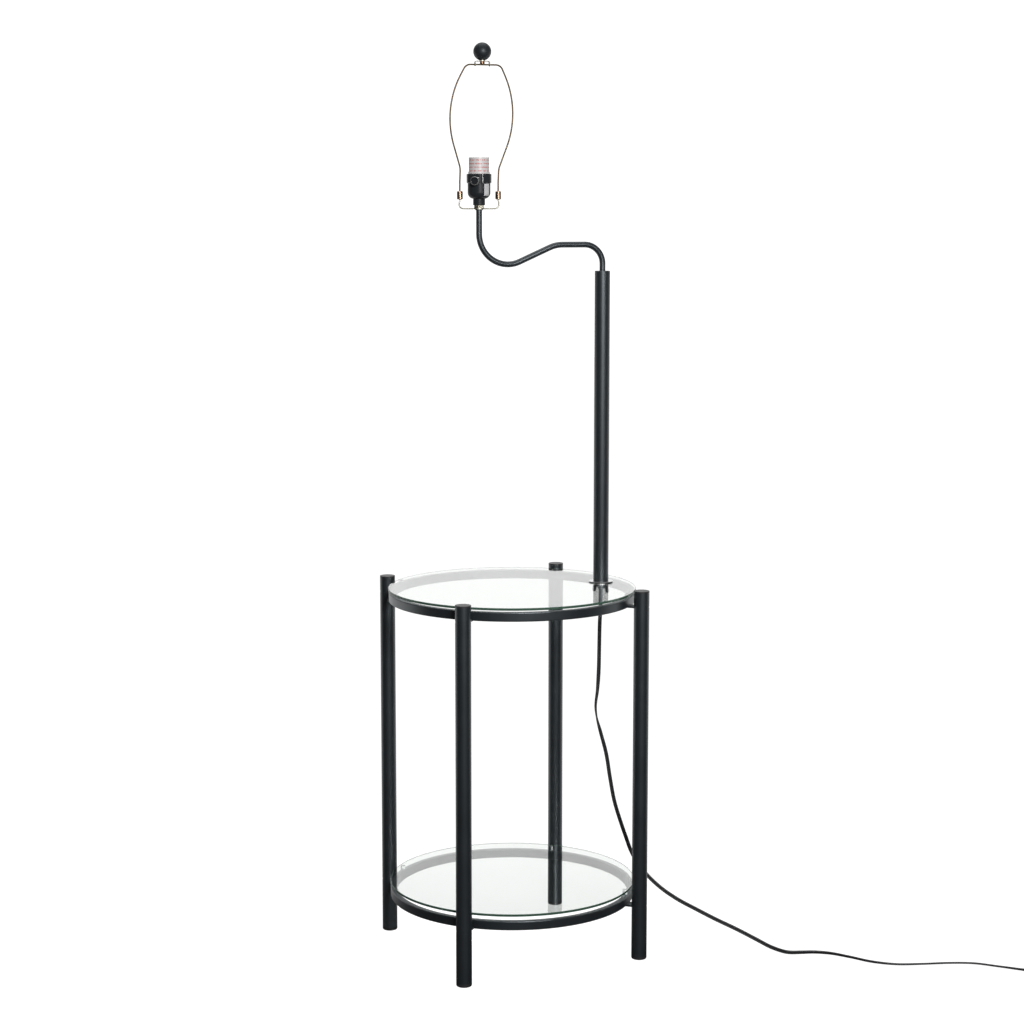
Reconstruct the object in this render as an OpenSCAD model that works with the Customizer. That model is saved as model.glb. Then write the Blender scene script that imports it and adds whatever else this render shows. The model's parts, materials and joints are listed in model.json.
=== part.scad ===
// Floor lamp with a round two-tier glass table around its foot.
// Millimetres, +Z up. Origin on the floor under the middle of the table. The mast stands on the +X side.

/* [Legs] */
// Outer diameter of the leg tubes and of the mast
tube_d = 25.4; // [21:0.1:30]
// Wall of the leg tubes and of the mast
tube_wall = 1.5; // [1:0.1:2.5]
// Height of the lower ring's underside above the floor
shelf_h = 89; // [60:1:200]
// Height of the upper ring's underside above the floor
top_h = 590; // [400:1:700]
// Length of each post above the upper ring's tabs, with its cap
post_h = 25; // [24:1:60]
// Thickness of the flat cap that closes a post
post_cap_t = 2.5; // [1:0.1:4]
// Height of the plastic glide under each foot
glide_h = 5.5; // [4:0.5:12]
// Angle by which the legs are turned from the diagonals
leg_turn = 7; // [-30:1:30]

/* [Rings] */
// Outer diameter of both rings
ring_d = 408; // [380:1:460]
// Radial width of the ring bar
ring_w = 10; // [8:0.5:16]
// Height of the ring bar
ring_h = 15; // [10:0.5:25]
// Rounding of the ring bar's edges
ring_round = 1.6; // [0.5:0.1:3]
// Gap between a ring and the leg tubes
ring_gap = 7.3; // [4:0.1:20]
// Thickness of the tabs that carry the rings
tab_t = 3; // [2:0.5:6]
// Width of the tabs
tab_w = 18; // [12:0.5:20]
// Diameter of the studs that clamp the legs on the tabs
stud_d = 8; // [5:0.5:10]
// Length of the threaded plugs pressed into the tube ends
insert_l = 12; // [8:0.5:14]

/* [Glass] */
// How far the panes reach past the rings
glass_over = 1; // [-2:0.5:3]
// Thickness of the panes
glass_t = 4; // [3:0.5:8]
// Polished bevel along the edges of the panes
glass_bevel = 0.6; // [0.3:0.1:1]
// Diameter of the clear pads under the panes
pad_d = 8; // [5:0.5:8]
// Height of the pads on the upper ring
top_pad_h = 3; // [1:0.5:8]
// Height of the pads on the lower ring
shelf_pad_h = 8; // [1:0.5:12]

/* [Mast] */
// Distance of the mast's axis in from the ring's outer edge
mast_in = 47.4; // [39:0.1:120]
// Length of the mast tube
mast_h = 510; // [300:1:700]
// Height of the cap on top of the mast tube
mast_cap_h = 7; // [4:0.5:20]
// Diameter of the flange washer under the mast
flange_d = 40.5; // [34:0.5:50]
// Thickness of the flange washer and of the clamp washer
washer_t = 1.2; // [0.8:0.1:3]
// Thickness of the rubber gaskets on both sides of the glass
gasket_t = 0.8; // [0.5:0.1:2]
// Outer diameter of the threaded nipple that clamps the mast
nipple_d = 10; // [9:0.5:12]
// Bore of the nipple, which the lead runs through
nipple_bore = 7; // [6:0.1:7.4]
// Length of the threaded plug in the mast's lower end
mast_insert_l = 16; // [10:1:30]
// Diameter of the wing nut's hub
wing_hub_d = 13.5; // [13:0.5:18]
// Height of the wing nut's hub
wing_hub_h = 8; // [6:0.5:12]
// Distance between the outer edges of the wings
wing_span = 33; // [28:1:40]
// How far the wings reach down below the top of the hub
wing_drop = 15; // [10:0.5:20]
// Thickness of the wings
wing_t = 2.6; // [1.5:0.1:4]

/* [Arm] */
// Outer diameter of the arm tube
arm_d = 9.8; // [9:0.1:11]
// Wall of the arm tube
arm_wall = 1; // [0.7:0.1:1.2]
// Straight rise out of the mast's cap
arm_riser = 11.5; // [5:0.5:60]
// Bend radius over the mast
arm_top_r = 31.5; // [15:0.5:60]
// Level run after the first bend
arm_top_run = 38.5; // [10:0.5:150]
// Radius of the bend into the slope
arm_drop_r = 55; // [15:1:90]
// Angle of the slope below level
arm_drop = 23.6; // [5:0.1:40]
// Length of the slope
arm_slope = 56.5; // [20:0.5:200]
// Bend radius below the socket
arm_rise_r = 49; // [15:1:80]
// Straight rise up to the socket
arm_rise = 38.2; // [10:0.1:120]

/* [Socket] */
// Diameter of the seat ring on the arm under the saddle
seat_d = 12.8; // [12:0.1:16]
// Thickness of the seat ring
seat_t = 1.5; // [1:0.1:4]
// Width of the saddle nut across its corners
saddle_nut_d = 16.6; // [15:0.1:20]
// Height of the saddle nut
saddle_nut_h = 4.6; // [3:0.1:8]
// Diameter of the socket cap's neck
neck_d = 19.4; // [16:0.1:24]
// Height of the neck
neck_h = 10; // [6:0.5:16]
// Diameter of the socket cap
cap_d = 36.8; // [35:0.1:40]
// Height of the socket cap up to the collar
cap_h = 25; // [18:0.5:40]
// Wall of the socket cap
cap_wall = 1; // [0.8:0.1:1.4]
// Radius of the round bottom edge of the socket cap
cap_round = 10; // [5:0.5:12]
// Wall of the collar round the socket cap
collar_wall = 1.9; // [1.2:0.1:3]
// Height of the collar
collar_h = 15; // [12:0.5:24]
// Inner radius of the screw shell that takes the bulb
shell_r = 13.3; // [13.2:0.05:13.5]
// Wall of the screw shell
shell_wall = 0.5; // [0.3:0.05:0.7]
// Length of the screw shell
shell_l = 22; // [18:0.5:28]
// Outer diameter of the card sleeve
sleeve_d = 32.8; // [32:0.1:34]
// Wall of the card sleeve
sleeve_wall = 0.8; // [0.5:0.05:1]
// Height of the card sleeve above the collar
sleeve_rise = 26; // [24:0.5:40]
// Height of the card sleeve's thick rim above the collar
rim_rise = 3.4; // [1:0.1:6]
// Diameter of the switch knob
knob_d = 13.8; // [9:0.1:18]
// Length of the switch knob
knob_l = 10; // [6:0.5:16]
// Diameter of the knob's stem
stem_d = 4; // [3:0.1:5]
// Height of the knob's axis above the collar's lower edge
knob_rise = 3.5; // [2.5:0.1:7]

/* [Harp] */
// Diameter of the harp wire
harp_d = 2.6; // [2:0.1:3.2]
// Diameter of the saddle wire
saddle_d = 2.4; // [2.2:0.1:3]
// Half the distance between the harp's legs
harp_half = 32.3; // [30:0.1:36]
// Height of the saddle's tips above the saddle wire's middle
saddle_rise = 17.2; // [16:0.1:24]
// Bend radius of the saddle's corners
saddle_r = 7; // [5:0.5:8]
// Upright stretch of the harp's legs, which the ferrules slide on
harp_leg = 24; // [23:0.5:40]
// Straight stretch between the upright legs and the flare
harp_shoulder = 15; // [5:0.5:40]
// Outward flare of the legs
harp_flare = 19; // [5:0.5:30]
// Bend radius at the start of the flare
harp_flare_r = 34.6; // [10:0.5:60]
// Straight stretch of the flare
harp_flare_run = 32.2; // [5:0.5:60]
// Radius of the harp's wide bow
harp_bow_r = 144.4; // [80:1:200]
// Inward slope above the bow
harp_close = 26.5; // [10:0.5:40]
// Straight stretch above the bow
harp_close_run = 11.6; // [2:0.5:30]
// Radius of the harp's top corners
harp_top_r = 12; // [5:0.5:18]
// Lean of the harp's sides towards the mast
harp_lean = 2.4; // [0.5:0.1:4]
// Distance of the strap from the middle of the harp's top bar, away from the mast
strap_off = 1.5; // [0:0.1:4]
// Outer diameter of the ferrules
ferrule_d = 9.6; // [6:0.1:12]
// Length of the ferrules
ferrule_l = 13.5; // [8:0.5:14]
// Width of the strap on the harp's top
strap_w = 25; // [16:0.5:30]
// Depth of the strap's top plate
strap_depth = 10; // [9:0.5:14]
// Thickness of the strap
strap_t = 1; // [0.6:0.1:1.6]
// Height of the strap's top face above the harp wire's middle
strap_rise = 5.9; // [5:0.1:10]
// Diameter of the threaded stud that carries a shade
shade_stud_d = 6.35; // [5:0.05:8]
// Diameter of the finial ball
ball_d = 29; // [22:0.5:40]

/* [Cord] */
// Width of the flat twin cord
cord_w = 6.8; // [5.5:0.1:7]
// Thickness of the flat twin cord
cord_t = 3.2; // [2.6:0.1:3.4]
// Diameter of the round lead inside the arm and the mast
lead_d = 5.4; // [4:0.1:5.6]

/* [Hidden] */
$fn = 72;
SIDES = ["right", "back", "left", "front"];
function names(stem) = [for (side = SIDES) str(stem, side)];

black_paint = [0.13, 0.13, 0.14];
black_plastic = [0.07, 0.07, 0.075];
white_card = [0.93, 0.91, 0.90];
clear_pad = [0.85, 0.88, 0.88];
tinted_glass = [0.55, 0.78, 0.68, 0.4];
brass = [0.78, 0.60, 0.32];
zinc = [0.74, 0.75, 0.76];
bronze_wire = [0.42, 0.36, 0.24];

fit = 0.05;           // radial clearance of a plug in its tube and of a pin in its bore
seat_gap = 0.3;       // gap between moving faces that don't slide on each other
cut = 1;              // how far a cutter runs past the face that it opens
plug_round = 2.5;     // rounding of a glide's lower edge
tab_root = 3;         // how deep a tab reaches into its ring
hole_clear = 1;       // radial clearance of the nipple in the top glass

ring_r = ring_d / 2;
tube_bore_d = tube_d - 2 * tube_wall;
leg_r = ring_r + ring_gap + tube_d / 2;
pad_r = ring_r - ring_w / 2;
mast_x = ring_r - mast_in;
glass_r = ring_r + glass_over;
leg_z = shelf_h + tab_t;
post_z = top_h + tab_t;
post_tube_l = post_h - post_cap_t;
shelf_glass_z = shelf_h + ring_h + shelf_pad_h;
top_glass_z = top_h + ring_h + top_pad_h;
table_z = top_glass_z + glass_t;
flange_z = table_z + gasket_t;
mast_z = flange_z + washer_t;
mast_top = mast_z + mast_h + mast_cap_h;
clamp_z = top_glass_z - gasket_t - washer_t;
nipple_z = clamp_z - wing_hub_h - 0.5;
clamp_washer_d = nipple_d + 16;
wing_turn = -57;      // direction of the right wing
wing_w = 6;           // width of a wing
cap_plug_l = 6;       // length of the plugs that hold the caps and the glides in their tubes

function side_angle(i) = 90 * i - 45 + leg_turn;

// ---- rods bent in the XZ plane: a step is [length] or [bend radius, turn in degrees] ----

// Where a rod stands after one step, as [x, z, heading]
function after(at, step) = len(step) == 1
    ? [at[0] + step[0] * cos(at[2]), at[1] + step[0] * sin(at[2]), at[2]]
    : let (side = sign(step[1]), h = at[2] + step[1])
      [at[0] + side * step[0] * (sin(h) - sin(at[2])), at[1] - side * step[0] * (cos(h) - cos(at[2])), h];

// Where a rod stands after its first n steps
function walk(steps, at, n) = n == 0 ? at : after(walk(steps, at, n - 1), steps[n - 1]);
function walk_all(steps, at) = walk(steps, at, len(steps));

// The bends are a hair thicker than the straight pieces, which reach a hair into them
module bent_rod(steps, start, d, $fn = 40) {
    lap = 0.05;
    hair = 0.02;
    last = len(steps) - 1;
    for (k = [0 : last]) {
        at = walk(steps, start, k);
        r = steps[k][0];
        turn = steps[k][1];
        before = k == 0 ? 0 : lap;
        beyond = k == last ? 0 : lap;
        if (len(steps[k]) == 1)
            translate([at[0], 0, at[1]])
                rotate([0, 90 - at[2], 0])
                    translate([0, 0, -before])
                        cylinder(d = d, h = before + r + beyond);
        else
            translate([at[0] - sign(turn) * r * sin(at[2]), 0, at[1] + sign(turn) * r * cos(at[2])])
                rotate([90, 0, 0])
                    rotate_extrude(angle = abs(turn), start = turn > 0 ? at[2] - 90 : at[2] + 90 + turn, $fn = 144)
                        translate([r, 0])
                            circle(d = d + 2 * hair, $fn = 40);
    }
}

// ---- shared shapes ----

// Rectangle with its lower left corner at the origin and four round corners
module round_rect(w, h, r) {
    translate([r, 0]) square([w - 2 * r, h]);
    translate([0, r]) square([w, h - 2 * r]);
    for (x = [r, w - r], y = [r, h - r])
        translate([x, y]) circle(r);
}

module ring_tube(outer_d, inner_d, h) {
    difference() {
        cylinder(d = outer_d, h = h);
        translate([0, 0, -cut]) cylinder(d = inner_d, h = h + 2 * cut);
    }
}

module at_leg(i) {
    rotate([0, 0, side_angle(i)]) translate([leg_r, 0, 0]) children();
}

module at_mast(z) {
    translate([mast_x, 0, z]) children();
}

// Threaded plug pressed into the end of a tube
module tube_insert(l, hole_d) {
    ring_tube(tube_bore_d - 2 * fit, hole_d + 2 * fit, l);
}

// ---- legs ----

module glide(i) {
    color(black_plastic)
        at_leg(i) {
            rotate_extrude() {
                square([tube_d / 2 - plug_round, glide_h]);
                translate([0, plug_round]) square([tube_d / 2, glide_h - plug_round]);
                translate([tube_d / 2 - plug_round, plug_round]) circle(plug_round);
            }
            translate([0, 0, glide_h]) cylinder(d = tube_bore_d - 2 * fit, h = cap_plug_l);
        }
}

module foot(i) {
    color(black_paint)
        at_leg(i) translate([0, 0, glide_h]) ring_tube(tube_d, tube_bore_d, shelf_h - glide_h);
}

module leg(i) {
    color(black_paint)
        at_leg(i) translate([0, 0, leg_z]) ring_tube(tube_d, tube_bore_d, top_h - leg_z);
}

module post(i) {
    color(black_paint)
        at_leg(i) translate([0, 0, post_z]) ring_tube(tube_d, tube_bore_d, post_tube_l);
}

module post_caps() {
    color(black_plastic)
        for (i = [0 : 3])
            at_leg(i) translate([0, 0, post_z + post_tube_l]) {
                cylinder(d = tube_d, h = post_cap_t);
                translate([0, 0, -cap_plug_l]) cylinder(d = tube_bore_d - 2 * fit, h = cap_plug_l);
            }
}

module foot_inserts() {
    color(zinc)
        for (i = [0 : 3])
            at_leg(i) translate([0, 0, shelf_h - insert_l]) tube_insert(insert_l, stud_d);
}

module leg_inserts() {
    color(zinc)
        for (i = [0 : 3], z = [leg_z, top_h - insert_l])
            at_leg(i) translate([0, 0, z]) tube_insert(insert_l, stud_d);
}

module post_inserts() {
    color(zinc)
        for (i = [0 : 3])
            at_leg(i) translate([0, 0, post_z]) tube_insert(insert_l, stud_d);
}

// Threaded studs that pull two tube ends together on a tab
module studs(tab_z) {
    color(zinc)
        for (i = [0 : 3])
            at_leg(i) translate([0, 0, tab_z - insert_l]) cylinder(d = stud_d, h = 2 * insert_l + tab_t);
}

module shelf_studs() studs(shelf_h);

module top_studs() studs(top_h);

// ---- rings and glass ----

module ring(z) {
    color(black_paint)
        translate([0, 0, z]) {
            rotate_extrude($fn = 240)
                translate([ring_r - ring_w, 0]) round_rect(ring_w, ring_h, ring_round);
            for (i = [0 : 3])
                rotate([0, 0, side_angle(i)]) ring_tab();
        }
}

// Flat tab from the ring out to the leg, with a round end and a hole for the stud
module ring_tab() {
    difference() {
        linear_extrude(tab_t) {
            translate([ring_r - tab_root, -tab_w / 2]) square([leg_r - ring_r + tab_root, tab_w]);
            translate([leg_r, 0]) circle(d = tube_d - 2 * seat_gap);
        }
        translate([leg_r, 0, -cut]) cylinder(d = stud_d + 2 * fit, h = tab_t + 2 * cut);
    }
}

module shelf_ring() ring(shelf_h);

module top_ring() ring(top_h);

module pads(z, h) {
    color(clear_pad)
        for (i = [0 : 3])
            rotate([0, 0, side_angle(i)]) translate([pad_r, 0, z]) cylinder(d = pad_d, h = h);
}

module shelf_pads() pads(shelf_h + ring_h, shelf_pad_h);

module top_pads() pads(top_h + ring_h, top_pad_h);

module pane(z) {
    translate([0, 0, z])
        rotate_extrude($fn = 240)
            polygon([[0, 0], [glass_r - glass_bevel, 0], [glass_r, glass_bevel],
                     [glass_r, glass_t - glass_bevel], [glass_r - glass_bevel, glass_t], [0, glass_t]]);
}

module shelf_glass() {
    color(tinted_glass) pane(shelf_glass_z);
}

module top_glass() {
    color(tinted_glass)
        difference() {
            pane(top_glass_z);
            at_mast(top_glass_z - cut) cylinder(d = nipple_d + 2 * hole_clear, h = glass_t + 2 * cut);
        }
}

// ---- mast ----

module upper_gasket() {
    color(black_plastic)
        at_mast(table_z) ring_tube(flange_d - 2 * seat_gap, nipple_d + 2 * fit, gasket_t);
}

module flange_washer() {
    color(zinc) at_mast(flange_z) ring_tube(flange_d, nipple_d + 2 * fit, washer_t);
}

module lower_gasket() {
    color(black_plastic)
        at_mast(top_glass_z - gasket_t) ring_tube(clamp_washer_d, nipple_d + 2 * fit, gasket_t);
}

module clamp_washer() {
    color(zinc) at_mast(clamp_z) ring_tube(clamp_washer_d, nipple_d + 2 * fit, washer_t);
}

module nipple() {
    color(zinc) at_mast(nipple_z) ring_tube(nipple_d, nipple_bore, mast_z + mast_insert_l - nipple_z);
}

// One wing: a curved ear that leaves the hub level and hangs down at its tip
module wing() {
    reach = wing_span / 2;
    bend_r = reach - wing_hub_d / 2 + 1;
    tip_x = reach - wing_w / 2;
    rotate([90, 0, 0])
        translate([0, 0, -wing_t / 2])
            linear_extrude(wing_t)
                union() {
                    intersection() {
                        translate([reach - bend_r, -bend_r])
                            difference() {
                                circle(bend_r);
                                circle(bend_r - wing_w);
                            }
                        translate([reach - bend_r, -bend_r]) square(bend_r);
                    }
                    translate([wing_hub_d / 2 - 1.5, -wing_w]) square([reach - bend_r - wing_hub_d / 2 + 1.6, wing_w]);
                    translate([reach - wing_w, wing_w / 2 - wing_drop])
                        square([wing_w, wing_drop - wing_w / 2 - bend_r]);
                    translate([tip_x, wing_w / 2 - wing_drop]) circle(d = wing_w);
                }
}

module wing_nut() {
    color(black_paint)
        at_mast(clamp_z)
            difference() {
                union() {
                    translate([0, 0, -wing_hub_h]) cylinder(d1 = wing_hub_d - 3, d2 = wing_hub_d, h = wing_hub_h);
                    for (turn = [0, 180])
                        rotate([0, 0, wing_turn + turn]) wing();
                }
                translate([0, 0, -wing_drop - cut]) cylinder(d = nipple_d + 2 * fit, h = wing_drop + 2 * cut);
            }
}

module mast_insert() {
    color(zinc) at_mast(mast_z) tube_insert(mast_insert_l, nipple_d);
}

module mast_tube() {
    color(black_paint) at_mast(mast_z) ring_tube(tube_d, tube_bore_d, mast_h);
}

module mast_cap() {
    edge = 0.8;
    color(black_paint)
        at_mast(mast_z + mast_h)
            difference() {
                union() {
                    cylinder(d = tube_d, h = mast_cap_h - edge);
                    translate([0, 0, mast_cap_h - edge]) cylinder(d1 = tube_d, d2 = tube_d - 2 * edge, h = edge);
                    translate([0, 0, -cap_plug_l]) cylinder(d = tube_bore_d - 2 * fit, h = cap_plug_l);
                }
                translate([0, 0, -cap_plug_l - cut])
                    cylinder(d = arm_d + 2 * fit, h = mast_cap_h + cap_plug_l + 2 * cut);
            }
}

// ---- arm ----

arm_nut_h = 5;                                       // height of the nut inside the mast
arm_root = mast_cap_h + cap_plug_l + arm_nut_h;      // arm tube inside the cap and its nut
arm_in_neck = neck_h - 1;                            // threaded end of the arm inside the socket's neck

// The arm's steps, longer by "below" at the mast and by "above" at the socket
function arm_steps(below, above) = [
    [below + arm_riser], [arm_top_r, 90], [arm_top_run], [arm_drop_r, arm_drop],
    [arm_slope], [arm_rise_r, -90 - arm_drop], [arm_rise + above]];

module along_arm(below, above, d) {
    bent_rod(arm_steps(below, above), [mast_x, mast_top - below, 90], d);
}

arm_end = walk_all(arm_steps(0, 0), [mast_x, mast_top, 90]);
head_x = arm_end[0];
head_z = arm_end[1];
eye_t = 2;                                           // thickness of the saddle's flattened eye
eye_z = head_z + seat_t;
saddle_nut_z = eye_z + eye_t;
neck_z = saddle_nut_z + saddle_nut_h;
cap_z = neck_z + neck_h;
collar_z = cap_z + cap_h;
collar_top = collar_z + collar_h;
sleeve_top = collar_top + sleeve_rise;

module at_head(z) {
    translate([head_x, 0, z]) children();
}

module arm_tube() {
    above = neck_z - head_z + arm_in_neck;
    color(black_paint)
        difference() {
            along_arm(arm_root, above, arm_d);
            along_arm(arm_root + cut, above + cut, arm_d - 2 * arm_wall);
        }
}

module hex_nut(d, h) {
    difference() {
        cylinder(d = d, h = h, $fn = 6);
        translate([0, 0, -cut]) cylinder(d = arm_d + 2 * fit, h = h + 2 * cut);
    }
}

module arm_nut() {
    color(zinc) at_mast(mast_top - arm_root) hex_nut(tube_bore_d - 4, arm_nut_h);
}

// ---- socket ----

insulator_z = cap_z + cap_wall + 12;                 // underside of the insulator
shell_z = sleeve_top - 2.5 - shell_l;                // foot of the screw shell, on the insulator
collar_lip = 6;                                      // height of the collar's narrow upper part
sleeve_bore_d = sleeve_d - 2 * sleeve_wall;
rim_d = cap_d - 2 * cap_wall;                        // thick rim of the sleeve, inside the cap
knob_z = collar_z + knob_rise;
knob_turn = -121;                                    // direction of the knob
knob_start = cap_d / 2 + collar_wall + 2 * seat_gap; // where the knob starts, from the socket's axis
stem_start = 9;                                      // inner end of the stem
contact_h = 3;                                       // height of the centre contact
contact_well = contact_h + seat_gap;                 // depth of the well that it stands in, below the shell
contact_well_d = 20;

module saddle_seat() {
    color(black_paint) at_head(head_z) ring_tube(seat_d, arm_d + 2 * fit, seat_t);
}

module saddle_nut() {
    color(brass) at_head(saddle_nut_z) hex_nut(saddle_nut_d, saddle_nut_h);
}

// Cup with a round bottom edge, open at the top
module cup_profile(r, h, round_r) {
    square([r - round_r, h]);
    translate([0, round_r]) square([r, h - round_r]);
    translate([r - round_r, round_r])
        intersection() {
            circle(round_r);
            translate([0, -round_r]) square(round_r);
        }
}

// Radial hole for the knob's stem
module stem_hole(d, from, to) {
    translate([0, 0, knob_z])
        rotate([0, 0, knob_turn])
            rotate([0, 90, 0])
                translate([0, 0, from]) cylinder(d = d, h = to - from);
}

module socket_cap() {
    cap_rim = collar_h - collar_lip;                 // threaded rim inside the collar
    color(black_plastic)
        difference() {
            union() {
                at_head(cap_z)
                    rotate_extrude()
                        difference() {
                            cup_profile(cap_d / 2, cap_h + cap_rim, cap_round);
                            translate([0, cap_wall])
                                cup_profile(cap_d / 2 - cap_wall, cap_h + cap_rim, cap_round - cap_wall);
                        }
                at_head(neck_z) cylinder(d = neck_d, h = neck_h + cap_wall);
            }
            at_head(neck_z - cut) cylinder(d = arm_d + 2 * fit, h = neck_h + cap_wall + 2 * cut);
            at_head(0) stem_hole(stem_d + 4 * seat_gap, stem_start, knob_start);
        }
}

module socket_collar() {
    edge = 0.8;
    r = cap_d / 2 + collar_wall;
    bore = cap_d / 2 + fit;
    lip = rim_d / 2 + fit;
    color(black_plastic)
        difference() {
            at_head(collar_z)
                rotate_extrude()
                    polygon([[bore, 0], [r - edge, 0], [r, edge], [r, collar_h - edge], [r - edge, collar_h],
                             [lip, collar_h], [lip, collar_h - collar_lip], [bore, collar_h - collar_lip]]);
            at_head(0) stem_hole(stem_d + 4 * seat_gap, stem_start, knob_start + cut);
        }
}

// Insulating block: carries the screw shell, with a well for the contact, and turns the switch inside it
module socket_insulator() {
    color(black_plastic)
        difference() {
            at_head(insulator_z) cylinder(d = sleeve_bore_d - 2 * fit, h = shell_z - insulator_z);
            at_head(shell_z - contact_well) cylinder(d = contact_well_d, h = contact_well + cut);
            at_head(0) stem_hole(stem_d + 2 * fit, stem_start - seat_gap, knob_start);
        }
}

module screw_shell() {
    flange = 0.6;
    color(brass)
        at_head(shell_z)
            difference() {
                union() {
                    cylinder(r = shell_r + shell_wall, h = shell_l);
                    cylinder(d = sleeve_bore_d - 2 * fit, h = flange);
                }
                translate([0, 0, -cut]) cylinder(r = shell_r, h = shell_l + 2 * cut);
            }
}

module centre_contact() {
    color(brass)
        at_head(shell_z - contact_well) {
            cylinder(d = 9, h = 0.8);
            cylinder(d = 5, h = contact_h);
        }
}

module card_sleeve() {
    foot_h = 8;                                      // sleeve below the collar's lower edge
    color(white_card)
        difference() {
            at_head(0)
                rotate_extrude() {
                    translate([sleeve_bore_d / 2, collar_z - foot_h])
                        square([sleeve_wall, sleeve_top - collar_z + foot_h]);
                    translate([sleeve_bore_d / 2, collar_top - collar_lip])
                        square([rim_d / 2 - sleeve_bore_d / 2, collar_lip + rim_rise]);
                }
            at_head(0) stem_hole(stem_d + 4 * seat_gap, stem_start, knob_start);
        }
}

module switch_knob() {
    edge = 1.2;
    dish = 0.7;                                      // depth of the dished face
    color(black_plastic)
        at_head(knob_z)
            rotate([0, 0, knob_turn])
                rotate([0, 90, 0]) {
                    translate([0, 0, stem_start]) cylinder(d = stem_d, h = knob_start - stem_start);
                    translate([0, 0, knob_start])
                        rotate_extrude()
                            polygon([[0, 0], [knob_d / 2 - 0.5, 0], [knob_d / 2, 0.5], [knob_d / 2, knob_l - edge],
                                     [knob_d / 2 - edge, knob_l], [knob_d / 2 - 2 * edge, knob_l - dish],
                                     [0, knob_l - dish]]);
                }
}

// ---- harp ----

saddle_mid = eye_z + eye_t / 2;                      // height of the saddle wire's middle
eye_d = saddle_nut_d + 0.8;
saddle_toe = 12;                                     // the uprights lean back in by this angle
saddle_toe_run = 4;
saddle_toe_r = 12;

// Steps of half the saddle, from "from_x" out to its tip
function saddle_steps(from_x) =
    let (corner = [[saddle_r, 90 + saddle_toe], [saddle_toe_run], [saddle_toe_r, -saddle_toe]],
         end = walk_all(corner, [0, 0, 0]))
    concat([[harp_half - end[0] - from_x]], corner, [[saddle_rise - end[1]]]);

module saddle() {
    color(brass)
        difference() {
            union() {
                at_head(eye_z) cylinder(d = eye_d, h = eye_t);
                for (flip = [0, 1])
                    at_head(saddle_mid)
                        mirror([flip, 0, 0])
                            bent_rod(saddle_steps(eye_d / 2 - seat_gap), [eye_d / 2 - seat_gap, 0, 0], saddle_d);
            }
            at_head(eye_z - cut) cylinder(d = arm_d + 2 * fit, h = eye_t + 2 * cut);
        }
}

saddle_tip = saddle_mid + saddle_rise;
harp_z = saddle_tip + seat_gap;                      // foot of the harp's legs
lean_r = 40;                                         // bend radius where the lean starts
// One side of the harp from its upright leg to the level top bar, leaning inwards by "lean"
function side_steps(lean) = [
    [lean_r, -lean], [harp_shoulder], [harp_flare_r, harp_flare], [harp_flare_run],
    [harp_bow_r, -harp_flare - harp_close], [harp_close_run], [harp_top_r, harp_close + lean - 90]];
left_side = side_steps(harp_lean);
right_side = side_steps(-harp_lean);
left_end = walk_all(left_side, [0, 0, 90]);
right_end = walk_all(right_side, [0, 0, 90]);
leg_step = (right_end[1] - left_end[1]) / 2;         // the left leg is longer by this, the right one shorter
top_bar = 2 * harp_half - left_end[0] - right_end[0];
harp_top = harp_leg + (left_end[1] + right_end[1]) / 2;
strap_x = (left_end[0] - right_end[0]) / 2 - strap_off;

// The same steps walked from the far end back
function reversed(steps) = [for (k = [len(steps) - 1 : -1 : 0]) steps[k]];

harp_steps = concat(
    [[harp_leg + leg_step]], left_side, [[top_bar]], reversed(right_side), [[harp_leg - leg_step]]);

module harp_wire() {
    color(bronze_wire)
        translate([head_x, 0, harp_z]) bent_rod(harp_steps, [-harp_half, 0, 90], harp_d);
}

// Places its children on the harp's top bar, at the strap
module at_harp_top() {
    translate([head_x + strap_x, 0, harp_z + harp_top]) children();
}

module ferrule(side) {
    edge = 1;
    r = ferrule_d / 2;
    bore = max(harp_d, saddle_d) / 2 + fit;
    below_tip = 2.7;                                 // how far the ferrule covers the saddle's tip
    color(brass)
        translate([head_x + side * harp_half, 0, saddle_tip - below_tip])
            rotate_extrude()
                polygon([[bore, 0], [r - edge, 0], [r, edge], [r, ferrule_l - edge], [r - edge, ferrule_l],
                         [bore, ferrule_l]]);
}

module ferrule_left() ferrule(-1);

module ferrule_right() ferrule(1);

// Strap bent over the harp's top, with the wire through its two ears
module harp_strap() {
    bend = 2.5;
    ear_d = harp_d + 3;
    plate_w = strap_w - 2 * bend;
    color(brass)
        at_harp_top()
            difference() {
                union() {
                    rotate([90, 0, 0])
                        translate([0, 0, -ear_d / 2])
                            linear_extrude(ear_d)
                                difference() {
                                    strap_outline(strap_w / 2, strap_rise, bend);
                                    strap_outline(strap_w / 2 - strap_t, strap_rise - strap_t, bend - strap_t);
                                }
                    for (x = [-strap_w / 2, strap_w / 2 - strap_t])
                        translate([x, 0, 0]) rotate([0, 90, 0]) cylinder(d = ear_d, h = strap_t);
                    translate([-plate_w / 2, -strap_depth / 2, strap_rise - strap_t])
                        linear_extrude(strap_t) round_rect(plate_w, strap_depth, 3);
                }
                translate([-strap_w / 2 - cut, 0, 0])
                    rotate([0, 90, 0]) cylinder(d = harp_d + 2 * fit, h = strap_w + 2 * cut);
                cylinder(d = shade_stud_d + 2 * fit, h = strap_rise + cut);
            }
}

// Upper half of a rounded box, standing on the harp wire's middle
module strap_outline(half_w, h, r) {
    translate([-half_w, 0]) square([2 * half_w, h - r]);
    translate([r - half_w, 0]) square([2 * (half_w - r), h]);
    for (x = [r - half_w, half_w - r])
        translate([x, h - r]) circle(r);
}

stud_in_ball = 10;

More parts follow.
